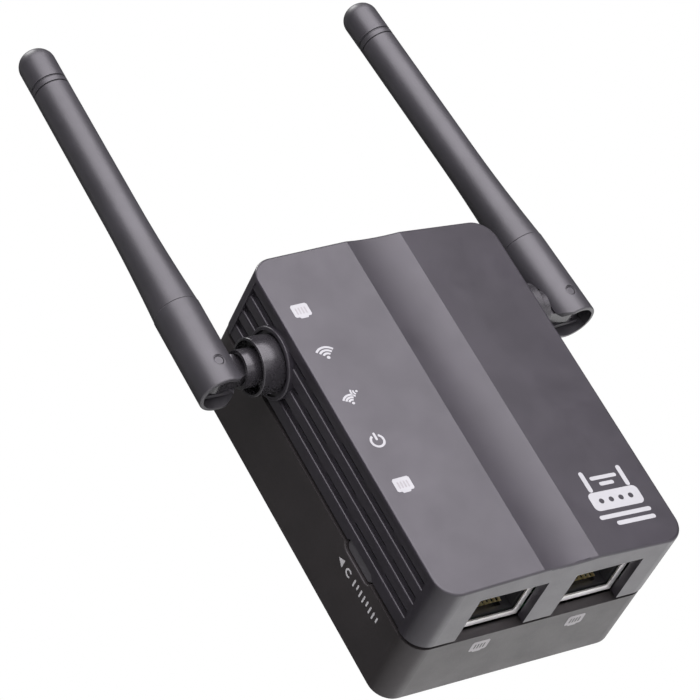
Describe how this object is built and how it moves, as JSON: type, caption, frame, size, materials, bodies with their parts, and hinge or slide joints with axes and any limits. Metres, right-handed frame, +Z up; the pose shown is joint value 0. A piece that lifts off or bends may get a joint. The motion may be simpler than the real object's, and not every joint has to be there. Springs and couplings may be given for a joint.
{
  "type": "wifi range extender",
  "caption": "Plug-in wall-mounted wifi range extender with folding antennas on round side swivels, network sockets underneath and louvred sides.",
  "frame": {"origin": "midway between the plug blades on the back face, which rests on the wall plate", "axes": "+X to the right seen from the room, +Y into the wall along the plug blades, +Z up"},
  "size_m": [0.0889, 0.0511, 0.1393],
  "materials": {
    "front_cover_plastic": "satin moulded black plastic with a slight sheen",
    "rear_cover_plastic": "fine moulded texture, near black",
    "antenna_plastic": "satin moulded near-black plastic",
    "swivel_plastic": "satin moulded near-black plastic",
    "button_plastic": "smooth moulded dark grey plastic",
    "insert_plastic": "moulded flame-retardant black plastic",
    "socket_plastic": "moulded black glass-filled plastic",
    "blade_metal": "nickel-plated stamped brass",
    "steel": "zinc-plated steel",
    "pin_metal": "black finished steel",
    "shield_metal": "bright tinned sheet",
    "gold_contact": "gold-plated phosphor bronze",
    "radiator_metal": "drawn brass tube and rod",
    "heat_sink": "extruded aluminium",
    "board": "glass-epoxy with green solder mask",
    "chip": "moulded epoxy package",
    "lamp": "clear epoxy over a white lamp package",
    "clear_plastic": "clear moulded light guide",
    "ferrite": "sintered ferrite",
    "coil_tape": "yellow insulating tape over the winding",
    "capacitor_sleeve": "shrink sleeve over an aluminium can",
    "fuse_coat": "lacquered ceramic body",
    "coax_jacket": "thin black fluoropolymer jacket"
  },
  "bodies": {
    "case": {"front_cover": "front_cover_plastic", "rear_cover": "rear_cover_plastic", "case_screws": "steel", "plug_insert": "insert_plastic", "plug_blade_left": "blade_metal", "plug_blade_right": "blade_metal", "main_board": "board", "wifi_chip": "chip", "heat_sink": "heat_sink", "memory_chip": "chip", "radio_shield_can": "shield_metal", "network_transformers": "chip", "indicator_lamps": "lamp", "light_guide": "clear_plastic", "coax_plugs": "gold_contact", "socket_shield_left": "shield_metal", "socket_shield_right": "shield_metal", "socket_housing_left": "socket_plastic", "socket_housing_right": "socket_plastic", "socket_contacts_left": "gold_contact", "socket_contacts_right": "gold_contact", "switch_body": "socket_plastic", "power_board": "board", "transformer_core": "ferrite", "transformer_coil": "coil_tape", "mains_capacitors": "capacitor_sleeve", "output_capacitor": "capacitor_sleeve", "rectifier": "chip", "filter_coil_core": "ferrite", "fuse_resistor": "fuse_coat", "power_controller": "chip", "board_link_header": "socket_plastic", "coax_lead_left": "coax_jacket", "coax_lead_right": "coax_jacket"},
    "reset_key": {"reset_button": "button_plastic", "switch_plunger": "button_plastic"},
    "left_swivel": {"swivel_collar_left": "swivel_plastic", "swivel_clip_left": "steel"},
    "right_swivel": {"swivel_collar_right": "swivel_plastic", "swivel_clip_right": "steel"},
    "left_antenna": {"antenna_barrel_left": "antenna_plastic", "antenna_sleeve_left": "antenna_plastic", "antenna_tip_cap_left": "antenna_plastic", "antenna_hinge_pin_left": "pin_metal", "antenna_radiator_left": "radiator_metal", "antenna_feed_lead_left": "coax_jacket"},
    "right_antenna": {"antenna_barrel_right": "antenna_plastic", "antenna_sleeve_right": "antenna_plastic", "antenna_tip_cap_right": "antenna_plastic", "antenna_hinge_pin_right": "pin_metal", "antenna_radiator_right": "radiator_metal", "antenna_feed_lead_right": "coax_jacket"}
  },
  "joints": [
    {"name": "left_swivel_turn", "type": "hinge", "parent": "case", "child": "left_swivel", "pos_m": [-0.03, -0.024, 0.0219], "axis": [1, 0, 0], "range_deg": [-90, 180]},
    {"name": "right_swivel_turn", "type": "hinge", "parent": "case", "child": "right_swivel", "pos_m": [0.03, -0.024, 0.0219], "axis": [1, 0, 0], "range_deg": [-91, 179]},
    {"name": "left_antenna_fold", "type": "hinge", "parent": "left_swivel", "child": "left_antenna", "pos_m": [-0.03975, -0.024, 0.0219], "axis": [0, -1, 0], "range_deg": [-5, 90]},
    {"name": "right_antenna_fold", "type": "hinge", "parent": "right_swivel", "child": "right_antenna", "pos_m": [0.03975, -0.024, 0.0219], "axis": [0, 0.9998, 0.0175], "range_deg": [-0.9, 94.1]},
    {"name": "reset_press", "type": "slide", "parent": "case", "child": "reset_key", "axis": [1, 0, 0], "range_m": [0, 0.0005], "stiffness_N_per_m": 1500, "springref_m": -0.0005}
  ]
}
